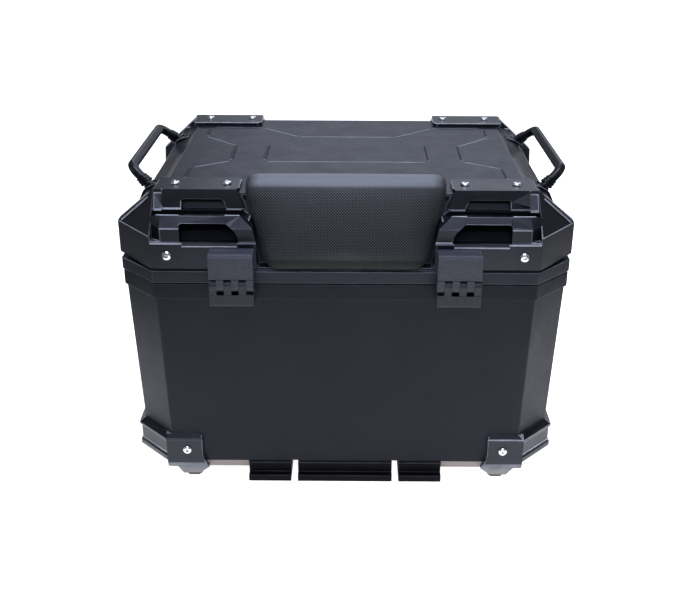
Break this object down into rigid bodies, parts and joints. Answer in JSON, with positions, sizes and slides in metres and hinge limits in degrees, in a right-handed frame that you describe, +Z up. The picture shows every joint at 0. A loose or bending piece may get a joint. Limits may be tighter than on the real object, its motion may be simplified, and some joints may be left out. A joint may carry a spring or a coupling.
{
  "type": "motorcycle top case",
  "caption": "Hard-shell motorcycle top case with a hinged lid, moulded corner guards, padded backrest, folding side handles, key lock and a rack plate with a sliding catch",
  "frame": {"origin": "centre of the four rack bolt slots, on the underside of the mounting plate", "axes": "+X towards the right-hand side of the case as seen from the backrest side, -Y towards the rider (backrest and hinge side), +Y towards the lock, +Z up"},
  "size_m": [0.456, 0.4146, 0.327],
  "materials": {
    "shell_plastic": "satin blue-black moulded plastic with a fine grain",
    "lid_plastic": "satin dark grey moulded plastic with a fine grain",
    "guard_plastic": "near-black satin moulded plastic",
    "handle_plastic": "semi-gloss black moulded plastic",
    "hinge_metal": "fine-textured dark grey powder coat",
    "bright_screw": "bright zinc or stainless button-head screws",
    "steel": "plain zinc-plated steel",
    "brass": "plain turned brass",
    "lock_chrome": "satin chrome plated key cylinder",
    "rubber": "matt black rubber",
    "mat_fabric": "dark grey needle-felt floor liner",
    "pad_vinyl": "charcoal woven-look vinyl over foam",
    "plate_plastic": "black glass-filled nylon"
  },
  "bodies": {
    "base": {"base_shell": "shell_plastic", "rim_seal": "rubber", "floor_mat": "mat_fabric", "bottom_guard_front_left": "guard_plastic", "bottom_guard_front_right": "guard_plastic", "bottom_guard_rear_left": "guard_plastic", "bottom_guard_rear_right": "guard_plastic", "guard_feet": "rubber", "bottom_guard_screws": "bright_screw", "bottom_guard_nuts": "steel", "mounting_plate": "plate_plastic", "plate_inserts": "brass", "floor_bolts": "steel", "catch_housing": "plate_plastic", "catch_screws": "steel", "catch_springs": "steel", "hinge_lower_left": "hinge_metal", "hinge_lower_right": "hinge_metal", "hinge_pin_left": "steel", "hinge_pin_right": "steel", "hinge_backing_base": "steel", "hinge_screws_base": "steel", "lock_housing": "guard_plastic", "lock_nut": "steel", "lock_guide": "steel", "lock_screws": "steel"},
    "lid": {"lid_shell": "lid_plastic", "lid_guard_front_left": "guard_plastic", "lid_guard_front_right": "guard_plastic", "lid_guard_rear_left": "guard_plastic", "lid_guard_rear_right": "guard_plastic", "lid_guard_screws": "bright_screw", "lid_guard_nuts": "steel", "backrest_pad": "pad_vinyl", "pad_backing_plate": "plate_plastic", "pad_screws": "steel", "hinge_upper_left": "hinge_metal", "hinge_upper_right": "hinge_metal", "hinge_backing_lid": "steel", "hinge_screws_lid": "steel", "handle_brackets_left": "guard_plastic", "handle_brackets_right": "guard_plastic", "handle_pins_left": "steel", "handle_pins_right": "steel", "handle_screws": "steel", "lid_strike": "steel", "lid_strike_screws": "steel"},
    "left_handle": {"handle_left": "handle_plastic"},
    "right_handle": {"handle_right": "handle_plastic"},
    "key_cylinder": {"lock_cylinder": "lock_chrome"},
    "bolt": {"lock_bolt": "steel"},
    "release_catch": {"catch_bolt": "steel", "release_pull": "plate_plastic"}
  },
  "joints": [
    {"name": "lid_hinge", "type": "hinge", "parent": "base", "child": "lid", "pos_m": [0, -0.2018, 0.233], "axis": [1, 0, 0], "range_deg": [0, 85]},
    {"name": "left_handle_pivot", "type": "hinge", "parent": "lid", "child": "left_handle", "pos_m": [-0.199, 0, 0.2935], "axis": [0, 1, 0], "range_deg": [-70, 20]},
    {"name": "right_handle_pivot", "type": "hinge", "parent": "lid", "child": "right_handle", "pos_m": [0.199, 0, 0.2935], "axis": [0, -1, 0], "range_deg": [-70, 20]},
    {"name": "key_turn", "type": "hinge", "parent": "base", "child": "key_cylinder", "pos_m": [0, 0.19, 0.195], "axis": [0, 1, 0], "range_deg": [0, 90]},
    {"name": "bolt_slide", "type": "slide", "parent": "base", "child": "bolt", "axis": [1, 0, 0], "range_m": [0, 0.01]},
    {"name": "catch_slide", "type": "slide", "parent": "base", "child": "release_catch", "axis": [0, 1, 0], "range_m": [0, 0.009], "stiffness_N_per_m": 300, "springref_m": -0.01, "deforming": ["catch_springs"]}
  ],
  "couplings": [
    {"joint": "bolt_slide", "follows": "key_turn", "m_per_rad": 0.0063662}
  ]
}
